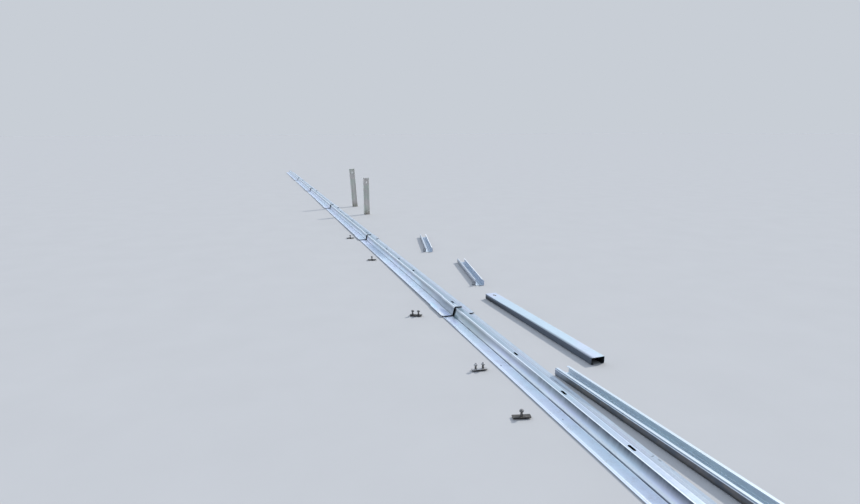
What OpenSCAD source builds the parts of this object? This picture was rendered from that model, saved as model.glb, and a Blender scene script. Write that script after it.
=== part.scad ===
// Highway guardrail section, laid out beside the road ready for erection.
// Lapped beams lie back side up in one straight run, with their posts, spacer
// channels and bolt sets beside them. The ground is z = 0 and the run goes along +Y.
// The origin is on the underside of the first beam's left band, level with its first slot.

/* [Run of beams] */
// Number of beams in the run
beam_count = 6; // [3:1:8]
// Distance from one post slot to the same slot of the next beam
bay = 4000; // [3000:10:4500]
// Length over which two beams lie in each other
lap = 300; // [200:10:400]
// Clearance between the webs of two beams in a lap
web_gap = 0.2; // [0.1:0.05:1]
// Widening of each half of a beam at its near end, which goes over the beam before
socket_spread = 7; // [4:0.5:9]
// Length of the run-out from the widened end to the plain section
socket_runout = 60; // [30:5:120]
// Distance that a beam's near end lies left of the beam under it
near_shift = 6.4; // [0:0.2:8]

/* [Beam section] */
// Height of the beam, edge to edge
beam_w = 310; // [280:1:340]
// Depth of the beam, from its bands to the top of its ridge
beam_depth = 81; // [70:1:90]
// Thickness of the beam's sheet
sheet = 3; // [2.5:0.1:4]
// Width of the flat ridge between its two folds
ridge_w = 56; // [48:1:70]
// Width that each sloping web takes up
web_run = 21; // [18:1:30]
// Width of the turned-up lip along each edge
lip_w = 19; // [10:1:25]
// Height that the lip rises above its band
lip_rise = 5; // [2:0.5:12]
// Inside radius of the beam's folds
beam_fold_r = 5; // [3:0.5:8]

/* [Beam slots] */
// Length of a post slot
slot_l = 60; // [40:1:70]
// Width of a post slot
slot_w = 18; // [16:0.5:22]
// Diameter of the small hole near each end of the ridge
end_hole_d = 12; // [8:1:18]
// Distance of the small hole from the end of the beam
end_hole_in = 50; // [40:1:90]

/* [Posts] */
// Width of a post's web
post_w = 120; // [100:1:140]
// Depth of a post's flanges
post_flange = 55; // [50:1:70]
// Width of the lips that close in a post's mouth
post_lip = 25; // [15:1:30]
// Thickness of a post's sheet
post_t = 4; // [3:0.5:6]
// Inside radius of a post's folds
post_fold_r = 4; // [3:0.5:8]
// Length of a loose post
post_len = 1800; // [1500:10:2200]
// Length of the slot through the web near a post's top
post_slot_l = 40; // [25:1:60]
// Width of that slot
post_slot_w = 18; // [14:0.5:22]
// Distance of that slot from the post's top
post_slot_in = 85; // [60:1:150]
// Height above ground of the post that is driven home
driven_h = 760; // [700:10:850]
// Height above ground of the post that is still too high
half_driven_h = 870; // [760:10:1100]
// Lean of the post that is still too high, in degrees
post_lean = 3.5; // [0:0.5:6]
// Gap between the run and the line of driven posts
driven_gap = 400; // [300:10:500]

/* [Spacer channels] */
// Width of a spacer's web
spacer_w = 100; // [80:1:120]
// Depth of a spacer's flanges
spacer_flange = 55; // [40:1:70]
// Width of a spacer's narrow lips
spacer_lip = 12; // [10:1:18]
// Thickness of a spacer's sheet
spacer_t = 4; // [3:0.5:5]
// Length of a spacer
spacer_len = 1150; // [900:10:1300]
// Width of the ear that is folded out of a spacer's near end
ear_w = 42; // [36:1:60]
// Diameter of the hole through the ear
ear_hole_d = 18; // [12:1:22]

/* [Bolt sets] */
// Length of a cover plate
plate_l = 115; // [100:1:130]
// Width of a cover plate
plate_w = 40; // [34:1:50]
// Thickness of a cover plate
plate_t = 5; // [4:0.5:8]
// Radius of a cover plate's corners
plate_corner_r = 5; // [2:1:12]
// Diameter of a bolt's shank
bolt_d = 16; // [12:1:20]
// Length of a bolt under its head
bolt_len = 50; // [40:1:60]
// Diameter of a bolt's domed head
head_d = 34; // [30:1:38]
// Height of a bolt's domed head
head_h = 8; // [6:0.5:10]
// Clearance round a bolt in its plate and nut
bolt_gap = 0.5; // [0.3:0.1:1]
// Height of a nut
nut_h = 13; // [10:0.5:16]
// Width of a nut across its flats
nut_af = 24; // [24:0.5:30]
// Distance of a nut from the end of its bolt
nut_in = 4; // [0:0.5:10]
// Gap between the run and the middle of a bolt set
kit_gap = 175; // [130:1:250]

/* [Hidden] */
BEAMS = [for (i = [1:beam_count]) str("beam_", i)];
KITS = [1, 2, 3, 4, 5];

// Flat steps that a fold's arc is drawn with
FOLD_STEPS = 6;
// How far a cutter reaches past the sheet that it cuts
PAST = 5;
// Length beyond a spacer's ear that has no lips, so that its flange can be folded out
EAR_CLEAR = 18;
// How far a beam's widened end reaches past the lap
SOCKET_PAST = 20;

// Beam sizes worked out from the section
band_w = (beam_w - ridge_w) / 2 - web_run;
web_rise = beam_depth - sheet;
web_slope = atan(web_rise / web_run);
lip_slope = atan(lip_rise / lip_w);
beam_len = bay + lap;
socket_l = lap + SOCKET_PAST;
// Height by which a beam's near end stands over the beam under it: the right webs
// rest on each other, or the bands do if the webs leave them room
web_room = (sheet + web_gap) / sin(web_slope) - socket_spread + near_shift;
nest = max(sheet + web_gap, web_room * tan(web_slope));
beam_tilt = atan(nest / bay);
beam_turn = atan(near_shift / beam_len);
// Places of the run across the road
run_left = -band_w / 2;
run_mid = run_left + beam_w / 2;
run_right = run_left + beam_w;
// Post slots along a beam, from its first slot: both laps, the third points and the middle
SLOTS = [0, bay / 3, bay / 2, bay * 2 / 3, bay];

// Loose posts by their far ends: [gap right of the run, place along the run, turn in degrees]
OPEN_POST_AT = [20, SLOTS[3] - 267, 3.4];
WEB_UP_POST_AT = [304, bay + 270, 1.9];
// Spacers by their eared ends: [gap right of the run, place along the run, turn in degrees]
SPACERS_AT = [[400, bay + 770, -10.6], [416, 2 * bay - 1341, -12.9]];
// Bolt sets: [place along the run, shift across it, turn, places of the bolts along the plate]
KITS_AT = [
    [SLOTS[2] - 70, 0, -13, [0]],
    [SLOTS[3] - 17, 30, -3, [-28, 28]],
    [bay - 30, -55, -25, [-30, 25]],
    [bay + SLOTS[3] - 267, 55, -15, [0]],
    [2 * bay + 70, 60, -10, [0]]
];

zinc = [0.74, 0.79, 0.86];
post_zinc = [0.66, 0.70, 0.74];
plate_zinc = [0.58, 0.59, 0.60];
dark_zinc = [0.33, 0.34, 0.36];

// Folded sheet: the outline of a sheet whose middle line goes through the corners of path
function unit(v) = v / norm(v);
function left_of(v) = [-v[1], v[0]];
function turned(v, a) = [v[0] * cos(a) - v[1] * sin(a), v[0] * sin(a) + v[1] * cos(a)];
function fold_arc(corner, d1, d2, r, t, side) =
    let (
        turn = atan2(cross(d1, d2), d1 * d2),
        s = sign(turn),
        mid_r = r + t / 2,
        start = corner - d1 * mid_r * tan(abs(turn) / 2),
        arm = -s * left_of(d1)
    )
    [for (k = [0:FOLD_STEPS])
        start - mid_r * arm + (mid_r - s * side * t / 2) * turned(arm, turn * k / FOLD_STEPS)];
function sheet_side(path, r, t, side) =
    let (last = len(path) - 1)
    [for (i = [0:last]) each
        i == 0 ? [path[0] + side * t / 2 * left_of(unit(path[1] - path[0]))]
        : i == last ? [path[last] + side * t / 2 * left_of(unit(path[last] - path[last - 1]))]
        : fold_arc(path[i], unit(path[i] - path[i - 1]), unit(path[i + 1] - path[i]), r, t, side)];
function reversed(points) = [for (i = [len(points) - 1:-1:0]) points[i]];
function sheet_outline(path, r, t) =
    concat(sheet_side(path, r, t, 1), reversed(sheet_side(path, r, t, -1)));

module folded_sheet(path, r, t) {
    polygon(sheet_outline(path, r, t));
}

// A section in X and Z, drawn out along Y from y = 0 to its length
module along_run(length) {
    translate([0, length, 0]) rotate([90, 0, 0]) linear_extrude(length) children();
}

// A slot through a sheet, along Y, centred on the origin
module slot_cutter(length, width, depth) {
    for (end = [-1, 1])
        translate([0, end * (length - width) / 2, 0]) cylinder(d = width, h = depth, center = true, $fn = 48);
    cube([width, length - width, depth], center = true);
}

// Middle line of one half of the beam, from its ridge to the tip of its lip
function beam_half(side, spread) = [
    [side * (spread + ridge_w / 2), beam_depth - sheet / 2],
    [side * (spread + ridge_w / 2 + web_run), sheet / 2],
    [side * (spread + beam_w / 2 - lip_w), sheet / 2],
    [side * (spread + beam_w / 2 - sheet / 2 * sin(lip_slope)), sheet / 2 + lip_rise]
];
function beam_line(spread) = concat(reversed(beam_half(-1, spread)), beam_half(1, spread));

// The run-out between two sheet outlines of n points each, near at y = 0 and far at y = length.
// Across the sheet, point k of an outline faces its point n - 1 - k.
module run_out(near, far, length) {
    n = len(near);
    polyhedron(
        points = concat([for (p = near) [p[0], 0, p[1]]], [for (p = far) [p[0], length, p[1]]]),
        faces = concat(
            [for (k = [0:n / 2 - 2]) [k, k + 1, n - 2 - k, n - 1 - k]],
            [for (k = [0:n / 2 - 2]) [2 * n - 1 - k, 2 * n - 2 - k, n + k + 1, n + k]],
            [for (k = [0:n - 1]) let (next = (k + 1) % n) [k, n + k, n + next, next]]
        )
    );
}

// The folded sheet of a beam: its widened near end, the run-out and the plain section
module beam_sheet() {
    wide = beam_line(socket_spread);
    plain = beam_line(0);
    plain_from = socket_l + socket_runout;
    along_run(socket_l) folded_sheet(wide, beam_fold_r, sheet);
    translate([0, socket_l, 0]) run_out(
        sheet_outline(wide, beam_fold_r, sheet), sheet_outline(plain, beam_fold_r, sheet), socket_runout);
    translate([0, plain_from, 0]) along_run(beam_len - plain_from) folded_sheet(plain, beam_fold_r, sheet);
}

// One beam, near end at y = 0, its bands on z = 0 and its ridge over x = 0
module beam_piece() {
    cut = 2 * (sheet + PAST);
    difference() {
        beam_sheet();
        for (s = SLOTS)
            translate([0, lap / 2 + s, beam_depth]) slot_cutter(slot_l, slot_w, cut);
        for (y = [end_hole_in, beam_len - end_hole_in])
            translate([0, y, beam_depth]) cylinder(d = end_hole_d, h = cut, center = true, $fn = 48);
    }
}

// The first beam lies flat and straight. Each later one has its near end over the beam before,
// a little to the left, and its far end on the ground, so that those lie at one slight slope.
module beam(i) {
    far_end = i * bay + lap / 2;
    color(zinc)
        translate([run_mid, far_end, 0])
            rotate(i == 1 ? [0, 0, 0] : [-beam_tilt, 0, -beam_turn])
                translate([0, -beam_len, 0]) beam_piece();
}

// Middle line of a channel with its mouth up and lips along the mouth
function channel_line(width, depth, lip, t) = [
    [-width / 2 + lip, depth - t / 2],
    [-(width - t) / 2, depth - t / 2],
    [-(width - t) / 2, t / 2],
    [(width - t) / 2, t / 2],
    [(width - t) / 2, depth - t / 2],
    [width / 2 - lip, depth - t / 2]
];

module post_section() {
    folded_sheet(channel_line(post_w, post_flange, post_lip, post_t), post_fold_r, post_t);
}

// A post on its web, its top end at y = 0 and the rest of it towards -Y
module post_piece(length) {
    difference() {
        translate([0, -length, 0]) along_run(length) post_section();
        translate([0, -post_slot_in, 0]) slot_cutter(post_slot_l, post_slot_w, 2 * (post_t + PAST));
    }
}

module laid(at) {
    translate([run_right + at[0], at[1], 0]) rotate([0, 0, at[2]]) children();
}

module open_post() {
    color(post_zinc) laid(OPEN_POST_AT) translate([post_w / 2, 0, 0]) post_piece(post_len);
}

module web_up_post() {
    color(zinc) laid(WEB_UP_POST_AT) translate([post_w / 2, 0, post_flange])
        rotate([0, 180, 0]) post_piece(post_len);
}

// A post that stands in the ground, shown from the ground up, its web facing the near end.
// Its foot is cut level with the ground, whatever its lean.
module standing_post(height, lean) {
    buried = post_w;
    difference() {
        rotate([0, -lean, 0]) translate([0, 0, height]) rotate([90, 0, 180]) post_piece(height + buried);
        translate([-2 * post_w, -2 * post_w, -3 * buried]) cube([4 * post_w, 4 * post_w, 3 * buried]);
    }
}

module driven_post() {
    color(post_zinc) translate([run_right + driven_gap, 2 * bay + SLOTS[3], 0]) standing_post(driven_h, 0);
}

module half_driven_post() {
    color(post_zinc) translate([run_right + driven_gap, 3 * bay + SLOTS[0], 0])
        standing_post(half_driven_h, post_lean);
}

module spacer_section() {
    folded_sheet(channel_line(spacer_w, spacer_flange, spacer_lip, spacer_t), post_fold_r, spacer_t);
}

// The ear in plan: the left flange runs to the eared end and is folded out square
function ear_line() = [
    [-(spacer_w - spacer_t) / 2, ear_w],
    [-(spacer_w - spacer_t) / 2, spacer_t / 2],
    [-(spacer_w - spacer_t) / 2 - ear_w, spacer_t / 2]
];

// A spacer on its web, its eared end at y = 0
module spacer_piece() {
    ear_foot = spacer_t + post_fold_r;
    inside = spacer_w - 2 * spacer_t;
    difference() {
        union() {
            difference() {
                along_run(spacer_len) spacer_section();
                // the lips stop short of the eared end
                translate([-inside / 2, -PAST, ear_foot])
                    cube([inside, ear_w + EAR_CLEAR + PAST, spacer_flange]);
                // the left flange gives way to the folded ear
                translate([-spacer_w / 2 - PAST, -PAST, ear_foot])
                    cube([PAST + 2 * spacer_t, ear_w + PAST, spacer_flange]);
            }
            translate([0, 0, ear_foot]) linear_extrude(spacer_flange - ear_foot)
                folded_sheet(ear_line(), post_fold_r, spacer_t);
        }
        translate([-(spacer_w + ear_w + spacer_t) / 2, spacer_t / 2, (ear_foot + spacer_flange) / 2])
            rotate([90, 0, 0]) cylinder(d = ear_hole_d, h = 2 * (spacer_t + PAST), center = true, $fn = 48);
    }
}

module spacer(k) {
    color(zinc) laid(SPACERS_AT[k - 1]) translate([spacer_w / 2, 0, 0]) spacer_piece();
}

// One place of a bolt set, its plate along X
module kit_place(k) {
    at = KITS_AT[k - 1];
    translate([run_left - kit_gap + at[1], at[0], 0]) rotate([0, 0, at[2]]) children();
}
function kit_bolts(k) = KITS_AT[k - 1][3];

module plate_outline() {
    square([plate_l - 2 * plate_corner_r, plate_w], center = true);
    square([plate_l, plate_w - 2 * plate_corner_r], center = true);
    for (x = [-1, 1], y = [-1, 1])
        translate([x * (plate_l / 2 - plate_corner_r), y * (plate_w / 2 - plate_corner_r)])
            circle(plate_corner_r, $fn = 48);
}

// The plate lies on the heads of its bolts
module cover_plate(k) {
    color(plate_zinc) kit_place(k) difference() {
        translate([0, 0, head_h]) linear_extrude(plate_t) plate_outline();
        for (x = kit_bolts(k))
            translate([x, 0, head_h + plate_t / 2])
                cylinder(d = bolt_d + 2 * bolt_gap, h = plate_t + 2 * PAST, center = true, $fn = 48);
    }
}

// A bolt that stands on its domed head
module bolt_piece() {
    crown_d = head_d / 2;
    rotate_extrude($fn = 48)
        polygon([
            [0, 0], [crown_d / 2, 0],
            for (k = [1:3]) [crown_d / 2 + (head_d - crown_d) / 2 * sin(30 * k), head_h * (1 - cos(30 * k))],
            [bolt_d / 2, head_h], [bolt_d / 2, head_h + bolt_len], [0, head_h + bolt_len]
        ]);
}

module bolts(k) {
    color(dark_zinc) kit_place(k) for (x = kit_bolts(k)) translate([x, 0, 0]) bolt_piece();
}

// A nut, its flats upright
module nut_piece() {
    difference() {
        cylinder(d = nut_af / cos(30), h = nut_h, $fn = 6);
        translate([0, 0, -PAST]) cylinder(d = bolt_d, h = nut_h + 2 * PAST, $fn = 48);
    }
}

module nuts(k) {
    color(zinc) kit_place(k) for (x = kit_bolts(k))
        translate([x, 0, head_h + bolt_len - nut_h - nut_in]) nut_piece();
}

for (i = [1:beam_count]) beam(i);
open_post();
web_up_post();
driven_post();
half_driven_post();
spacer(1);  // spacer_1
spacer(2);  // spacer_2
for (k = KITS) {
    cover_plate(k);
    bolts(k);
    nuts(k);
}
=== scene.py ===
"""Highway guardrail section laid out for erection: its tones and painted light and shade, its bolts and nuts,
the light and the camera.

Lengths are in metres unless a comment says otherwise. The run lies along y; x goes across it to the right.
"""

import math

import bmesh
import bpy
from mathutils import Matrix, Vector

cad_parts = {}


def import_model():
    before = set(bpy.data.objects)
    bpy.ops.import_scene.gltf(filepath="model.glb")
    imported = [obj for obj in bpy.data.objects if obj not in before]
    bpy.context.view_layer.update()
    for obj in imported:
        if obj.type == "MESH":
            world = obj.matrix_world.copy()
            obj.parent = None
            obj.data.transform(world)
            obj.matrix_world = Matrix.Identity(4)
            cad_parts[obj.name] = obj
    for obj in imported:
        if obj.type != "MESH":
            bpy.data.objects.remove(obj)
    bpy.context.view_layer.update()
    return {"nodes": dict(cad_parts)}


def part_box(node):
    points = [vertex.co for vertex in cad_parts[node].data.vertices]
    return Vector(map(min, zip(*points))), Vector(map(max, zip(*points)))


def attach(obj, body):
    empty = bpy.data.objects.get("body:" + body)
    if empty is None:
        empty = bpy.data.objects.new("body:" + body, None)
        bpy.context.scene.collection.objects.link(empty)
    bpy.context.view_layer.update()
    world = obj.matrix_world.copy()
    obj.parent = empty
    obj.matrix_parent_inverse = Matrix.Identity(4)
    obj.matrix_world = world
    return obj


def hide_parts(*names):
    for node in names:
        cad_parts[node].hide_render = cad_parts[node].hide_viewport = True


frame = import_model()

# The camera, fitted to the run's edges, its slots and its laps; turns in radians, sensor in millimetres
CAMERA_AT = (-1.7121, -0.8476, 1.69604)
CAMERA_YAW = 0.315327
CAMERA_PITCH = 0.211802
CAMERA_ROLL = -0.003762
FOCAL_PIXELS = 559.745
PICTURE_WIDTH = 860
SENSOR = 36.0
CLIP_END = 500.0

# Light. SUN_TOWARDS and SKY_TOWARDS say where the sun and the sky's brighter side are, from x towards y, and
# SUN_HEIGHT how high the sun is, all in degrees
SUN_TOWARDS = 22.0
SUN_HEIGHT = 35.0
SUN_SPREAD = 2.0
SUN_STRENGTH = 2.3
SUN_COLOUR = (1.0, 0.965, 0.92)
SKY_TOWARDS = 90.0
SKY_LEAN = 0.9
SKY_LOW = (0.68, 0.74, 0.83)
SKY_HIGH = (0.56, 0.64, 0.78)
SKY_HIGH_FROM = 0.7
BACKDROP = (0.578, 0.617, 0.672)

FLOOR_HALF = 260.0
FLOOR_AT = (0.0, 100.0, -0.0005)
FLOOR_TONES = (0.56, 0.56, 0.555), (0.60, 0.60, 0.595)

# The run across the road, from the first beam. RIDGE_HALF, CREASE and LIP_FROM count from its middle line
RUN_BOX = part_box("beam_1")
RUN_LEFT = RUN_BOX[0][0]
RUN_RIGHT = RUN_BOX[1][0]
RUN_MID = (RUN_LEFT + RUN_RIGHT) / 2
BEAM_TOP = RUN_BOX[1][2]
RIDGE_HALF = 0.028
WEB_RUN = 0.021
CREASE_ROUND = 0.0022
CREASE = RIDGE_HALF + WEB_RUN + CREASE_ROUND
LIP_FROM = 0.136

# How the beams lie. Towards its near end a later beam rises by NEST a bay and drifts left by NEAR_SHIFT in
# all. In its last SOCKET each side of a beam stands further out by SPREAD
BAY = 4.0
LAP = 0.3
BEAM_LEN = BAY + LAP
NEST = 0.01008
NEAR_SHIFT = 0.0064
SPREAD = 0.007
SOCKET = 0.32
SOCKET_RUNOUT = 0.06

BEAMS = sorted(name for name in frame["nodes"] if name.startswith("beam_"))

# The loose channels: corner of each and its turn in degrees, and their sizes
OPEN_POST = ((0.277, 2.39967), 3.4)
WEB_UP_POST = ((0.561, 4.27), 1.9)
SPACERS = {"spacer_1": ((0.657, 4.770), -10.6), "spacer_2": ((0.673, 6.659), -12.9)}
POST_WIDTH = 0.120
SPACER_WIDTH = 0.100
CHANNEL_DEPTH = 0.055
CHANNEL_WALL = 0.004
POST_SLOT_LONG = 0.040
POST_SLOT_WIDE = 0.018
POST_SLOT_IN = 0.085

# The bolt sets: place along the run, shift from KIT_X, turn in degrees, places of the bolts along the plate
KIT_X = -0.228
KITS_AT = (
    (1.930, 0.000, -13.0, (0.0,)),
    (2.64967, 0.030, -3.0, (-0.028, 0.028)),
    (3.970, -0.055, -25.0, (-0.030, 0.025)),
    (6.39967, 0.055, -15.0, (0.0,)),
    (8.070, 0.060, -10.0, (0.0,)),
)
BRIGHT_KIT_Y = KITS_AT[1][0]
PLATE_TOP = 0.013

# Bolts stand on their heads. NUT_FLAT is half a nut's width, NUT_IN how far it sits below the bolt's end
BOLT_R = 0.008
BOLT_HEAD_R = 0.017
BOLT_HEAD = 0.008
BOLT_LEN = 0.050
BOLT_END = BOLT_HEAD + BOLT_LEN
THREAD_ROOT = 0.0069
THREAD_PITCH = 0.002
THREAD_LEN = 0.030
NUT_FLAT = 0.012
NUT_HEIGHT = 0.013
NUT_IN = 0.004
NUT_TOP = BOLT_END - NUT_IN


# Node helpers. A colour is a socket or three numbers

def link(tree, value, socket):
    if isinstance(value, bpy.types.NodeSocket):
        tree.links.new(value, socket)
    elif value is not None:
        socket.default_value = value + (1,) if socket.type == "RGBA" else value


def node(tree, kind, inputs=None, **settings):
    made = tree.nodes.new(kind)
    for key, value in settings.items():
        setattr(made, key, value)
    for key, value in (inputs or {}).items():
        link(tree, value, made.inputs[key])
    return made


def calc(tree, operation, a, b=None, c=None, clamp=False):
    made = node(tree, "ShaderNodeMath", {0: a, 1: b, 2: c}, operation=operation, use_clamp=clamp)
    return made.outputs[0]


def times(tree, first, *others):
    for other in others:
        first = calc(tree, "MULTIPLY", first, other)
    return first


def most(tree, first, *others):
    for other in others:
        first = calc(tree, "MAXIMUM", first, other)
    return first


def less(tree, mask, cut, full=1.0):
    """The full amount, less the cut where the mask is 1"""
    return calc(tree, "MULTIPLY_ADD", mask, -cut, full)


def summed(tree, first, *others):
    """A sum of values, each given with its weight"""
    total = times(tree, *first)
    for value, weight in others:
        total = calc(tree, "MULTIPLY_ADD", value, weight, total)
    return total


def ramp(tree, value, low, high, start=0.0, end=1.0, smooth=True):
    """From start where the value is low to end where it is high; low may be the larger of the two"""
    made = node(tree, "ShaderNodeMapRange", {0: value, 1: low, 2: high, 3: start, 4: end})
    made.interpolation_type = "SMOOTHSTEP" if smooth else "LINEAR"
    return made.outputs[0]


def mix(tree, factor, a, b, blend="MIX"):
    return node(tree, "ShaderNodeMix", {0: factor, 6: a, 7: b}, data_type="RGBA", blend_type=blend).outputs[2]


def axes_of(tree, vector):
    return node(tree, "ShaderNodeSeparateXYZ", {0: vector}).outputs


def stretched(tree, vector, scale, shift=(0.0, 0.0, 0.0)):
    return node(tree, "ShaderNodeMapping", {0: vector, 1: shift, 3: scale}).outputs[0]


def noise(tree, vector, scale, detail=3.0, rough=0.55):
    return node(tree, "ShaderNodeTexNoise", {"Vector": vector, "Scale": scale, "Detail": detail,
                                             "Roughness": rough}).outputs[0]


def streaks(tree, vector, scale, detail, rough=0.55, shift=(0.0, 0.0, 0.0)):
    """Noise with its own scale along each axis"""
    return noise(tree, stretched(tree, vector, scale, shift), 1.0, detail, rough)


def off_from(tree, value, middle):
    return calc(tree, "ABSOLUTE", calc(tree, "SUBTRACT", value, middle))


def band_of(tree, value, middle, half, soft):
    """1 where the value lies within half of the middle, fading over soft"""
    return ramp(tree, off_from(tree, value, middle), half + soft, half)


def spot(tree, place, at, size, soft=0.4):
    """A soft ellipsoid mask round a place"""
    moved = node(tree, "ShaderNodeVectorMath", {0: place, 1: at}, operation="SUBTRACT").outputs[0]
    scaled = node(tree, "ShaderNodeVectorMath", {0: moved, 1: size}, operation="DIVIDE").outputs[0]
    far = node(tree, "ShaderNodeVectorMath", {0: scaled}, operation="LENGTH").outputs[1]
    return ramp(tree, far, 1.0, soft)


SOCKET_KINDS = {"vector": "NodeSocketVector", "colour": "NodeSocketColor", "value": "NodeSocketFloat"}


def new_group(name, inputs, outputs):
    """A shader node group with its inner sockets; each is named with its kind, or with its usual value"""
    tree = bpy.data.node_groups.new(name, "ShaderNodeTree")
    for way, sockets in (("INPUT", inputs), ("OUTPUT", outputs)):
        for label, kind in sockets.items():
            plain = SOCKET_KINDS.get(kind, SOCKET_KINDS["value"])
            socket = tree.interface.new_socket(label, in_out=way, socket_type=plain)
            if kind not in SOCKET_KINDS:
                socket.default_value = kind
    return tree, tree.nodes.new("NodeGroupInput").outputs, tree.nodes.new("NodeGroupOutput").inputs


def use(tree, group, **inputs):
    """A group placed in a tree; an underscore in a name stands for a space"""
    made = tree.nodes.new("ShaderNodeGroup")
    made.node_tree = group
    for key, value in inputs.items():
        link(tree, value, made.inputs[key.replace("_", " ")])
    return made.outputs


# Shared effects

DUST_DARK = (0.30, 0.25, 0.19)
DUST_PALE = (0.46, 0.41, 0.34)
TINT_CYAN = (0.93, 1.0, 1.0)
TINT_LAVENDER = (1.0, 0.965, 1.02)


def zinc_group():
    """Hot-dip zinc: crystals, clouds and draw marks along the sheet"""
    tree, given, out = new_group(
        "hot dip zinc", {"Vector": "vector", "Crystal": 90.0, "Cloud": 3.0, "Drawn": 0.5},
        {"Tone": "value", "Gloss": "value", "Height": "value"})
    cells = node(tree, "ShaderNodeTexVoronoi", {"Vector": given["Vector"], "Scale": given["Crystal"]})
    crystal = node(tree, "ShaderNodeSeparateColor", {0: cells.outputs["Color"]}).outputs[0]
    cloud = noise(tree, given["Vector"], given["Cloud"], 5.0, 0.6)
    patch = noise(tree, given["Vector"], times(tree, given["Cloud"], 7.0))
    drawn = times(tree, streaks(tree, given["Vector"], (160.0, 1.3, 160.0), 3.0, 0.7), given["Drawn"])
    tone = summed(tree, (cloud, 0.55), (crystal, 0.18), (patch, 0.25), (drawn, 0.35))
    link(tree, ramp(tree, tone, 0.30, 0.90), out["Tone"])
    link(tree, summed(tree, (patch, 0.6), (crystal, 0.4)), out["Gloss"])
    grain = noise(tree, given["Vector"], 420.0, 2.0)
    link(tree, summed(tree, (patch, 0.8), (grain, 0.35), (drawn, 0.3)), out["Height"])
    return tree


def dust_group():
    """Road dust and dried mud, thick near the ground and thin above"""
    tree, given, out = new_group(
        "road dust", {"Vector": "vector", "Amount": 0.3, "Height": 0.05, "Scale": 9.0},
        {"Mask": "value", "Colour": "colour"})
    low = ramp(tree, axes_of(tree, given["Vector"])[2], given["Height"], 0.0)
    film = noise(tree, given["Vector"], given["Scale"], 6.0, 0.65)
    flecks = noise(tree, given["Vector"], times(tree, given["Scale"], 14.0))
    mask = times(tree, ramp(tree, film, 0.42, 0.72), ramp(tree, flecks, 0.35, 0.65))
    mask = times(tree, mask, calc(tree, "MULTIPLY_ADD", low, 0.8, 0.2))
    link(tree, calc(tree, "MULTIPLY", mask, given["Amount"], clamp=True), out["Mask"])
    shade = noise(tree, given["Vector"], 30.0, 2.0)
    link(tree, mix(tree, shade, DUST_DARK, DUST_PALE), out["Colour"])
    return tree


def scuff_group():
    """Thin bright scuffs drawn along the piece and short crossing ones"""
    tree, given, out = new_group("handling scuffs", {"Vector": "vector", "Amount": 0.3}, {"Mask": "value"})
    along = streaks(tree, given["Vector"], (420.0, 5.0, 420.0), 1.0)
    crossing = streaks(tree, given["Vector"], (28.0, 520.0, 60.0), 1.0, shift=(3.0, 1.0, 0.0))
    broken = noise(tree, given["Vector"], 6.0, 2.0)
    lines = calc(tree, "ADD", ramp(tree, along, 0.70, 0.76), ramp(tree, crossing, 0.78, 0.84))
    mask = times(tree, lines, ramp(tree, broken, 0.48, 0.62))
    link(tree, calc(tree, "MULTIPLY", mask, given["Amount"], clamp=True), out["Mask"])
    return tree


def tint_group():
    """Faint cyan and lavender clouds over the zinc"""
    tree, given, out = new_group(
        "cool tints", {"Vector": "vector", "Zinc": "colour", "Shift": 0.0}, {"Colour": "colour"})
    shift = node(tree, "ShaderNodeCombineXYZ", {0: given["Shift"], 1: given["Shift"]}).outputs[0]
    cloud = streaks(tree, given["Vector"], (5.0, 1.6, 5.0), 2.0, shift=shift)
    tint = mix(tree, ramp(tree, cloud, 0.40, 0.60), TINT_CYAN, TINT_LAVENDER)
    link(tree, mix(tree, 1.0, given["Zinc"], tint, "MULTIPLY"), out["Colour"])
    return tree


ZINC = zinc_group()
DUST = dust_group()
SCUFFS = scuff_group()
TINTS = tint_group()


# Materials

SCUFF_TONE = (0.86, 0.89, 0.93)
GRAIN_STRENGTH = 0.25
GRAIN_DEPTH = 0.0006


def new_material(name):
    material = bpy.data.materials.new(name)
    material.use_nodes = True
    tree = material.node_tree
    place = node(tree, "ShaderNodeTexCoord").outputs["Object"]
    return material, tree, tree.nodes["Principled BSDF"], place


def zinc_material(name, dull, bright, crystal=90.0, cloud=3.0, drawn=0.5, rough=0.5, dust=0.3,
                  dust_height=0.05, metal=0.55, shift=0.0, paint=None, glaze=0.5):
    """Zinc between two tones; paint(tree, place, colour) gives the painted colour and the share of sheen"""
    material, tree, shader, place = new_material(name)
    moved = stretched(tree, place, (1.0, 1.0, 1.0), (shift, 2.3 * shift, 0.7 * shift))
    zinc = use(tree, ZINC, Vector=moved, Crystal=crystal, Cloud=cloud, Drawn=drawn)
    film = use(tree, DUST, Vector=place, Amount=dust, Height=dust_height)
    scuffs = use(tree, SCUFFS, Vector=moved, Amount=0.5)
    colour, share = paint(tree, place, mix(tree, zinc["Tone"], dull, bright))
    colour = mix(tree, times(tree, scuffs["Mask"], 0.6), colour, SCUFF_TONE)
    link(tree, mix(tree, film["Mask"], colour, film["Colour"]), shader.inputs["Base Color"])
    clean = calc(tree, "SUBTRACT", 1.0, film["Mask"])
    link(tree, times(tree, clean, share, metal), shader.inputs["Metallic"])
    roughness = calc(tree, "MULTIPLY_ADD", zinc["Gloss"], 0.22, rough - 0.11)
    roughness = calc(tree, "MULTIPLY_ADD", film["Mask"], 0.3, roughness, clamp=True)
    link(tree, roughness, shader.inputs["Roughness"])
    shader.inputs["Specular IOR Level"].default_value = glaze
    grained = node(tree, "ShaderNodeBump", {"Height": zinc["Height"], "Strength": GRAIN_STRENGTH,
                                            "Distance": GRAIN_DEPTH})
    link(tree, grained.outputs[0], shader.inputs["Normal"])
    return material


def give(name, material):
    thing = frame["nodes"][name]
    thing.data.materials.clear()
    thing.data.materials.append(material)


# The beams' tones and painted light and shade

# Colours of the beams, most of them painted light and shade: far along the run, on the bands and lips, ridge,
# webs, folds, creases, underside and laps
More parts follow.
